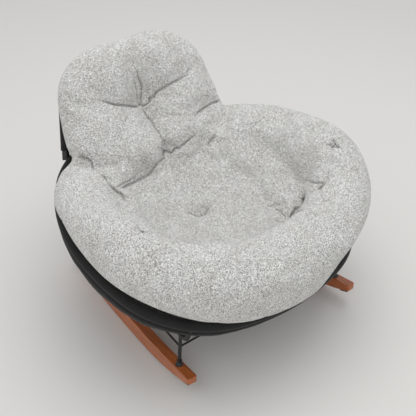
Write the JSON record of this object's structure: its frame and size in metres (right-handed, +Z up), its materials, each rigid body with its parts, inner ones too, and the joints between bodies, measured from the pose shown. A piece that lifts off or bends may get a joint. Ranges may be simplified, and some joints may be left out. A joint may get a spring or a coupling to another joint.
{
  "type": "rocking chair",
  "caption": "Low lounge rocking chair: a tufted grey round-armed cushion in a black fabric bowl on a hoop, slim black rod legs and curved wooden rockers.",
  "frame": {"origin": "on the floor under the middle of the chair's plan outline", "axes": "+X to the sitter's left, -Y to the front where the sitter faces, +Z up"},
  "size_m": [0.8852, 0.9071, 0.7139],
  "materials": {
    "lacquered_wood": "satin red-brown lacquer",
    "black_steel": "satin black powder coat",
    "bolt_steel": "zinc plated",
    "dark_pad": "matt",
    "grey_tweed": "light grey flecked tweed over soft filling",
    "tuft_thread": "twisted thread",
    "black_fabric": "plain black woven cloth"
  },
  "bodies": {
    "frame": {"rocker_left": "lacquered_wood", "rocker_right": "lacquered_wood", "stop_pad_front_left": "dark_pad", "stop_pad_front_right": "dark_pad", "stop_pad_rear_left": "dark_pad", "stop_pad_rear_right": "dark_pad", "hoop_front": "black_steel", "hoop_rear": "black_steel", "hoop_sleeve_left": "black_steel", "hoop_sleeve_right": "black_steel", "seat_rail_left": "black_steel", "seat_rail_right": "black_steel", "leg_front_left": "black_steel", "leg_front_right": "black_steel", "leg_rear_left": "black_steel", "leg_rear_right": "black_steel", "foot_cup_front_left": "black_steel", "foot_cup_front_right": "black_steel", "foot_cup_rear_left": "black_steel", "foot_cup_rear_right": "black_steel", "rocker_bolts": "bolt_steel", "stretcher_left": "black_steel", "stretcher_right": "black_steel", "stretcher_front": "black_steel", "stretcher_rear": "black_steel", "back_arch": "black_steel", "back_sleeve": "black_fabric", "seat_cover": "black_fabric"},
    "cushion": {"rim_roll": "grey_tweed", "seat_pad": "grey_tweed", "head_cushion": "grey_tweed", "tuft_ties": "tuft_thread"}
  },
  "joints": [
    {"name": "cushion_lift", "type": "slide", "parent": "frame", "child": "cushion", "axis": [0, 0, 1], "range_m": [0, 0.5]}
  ]
}
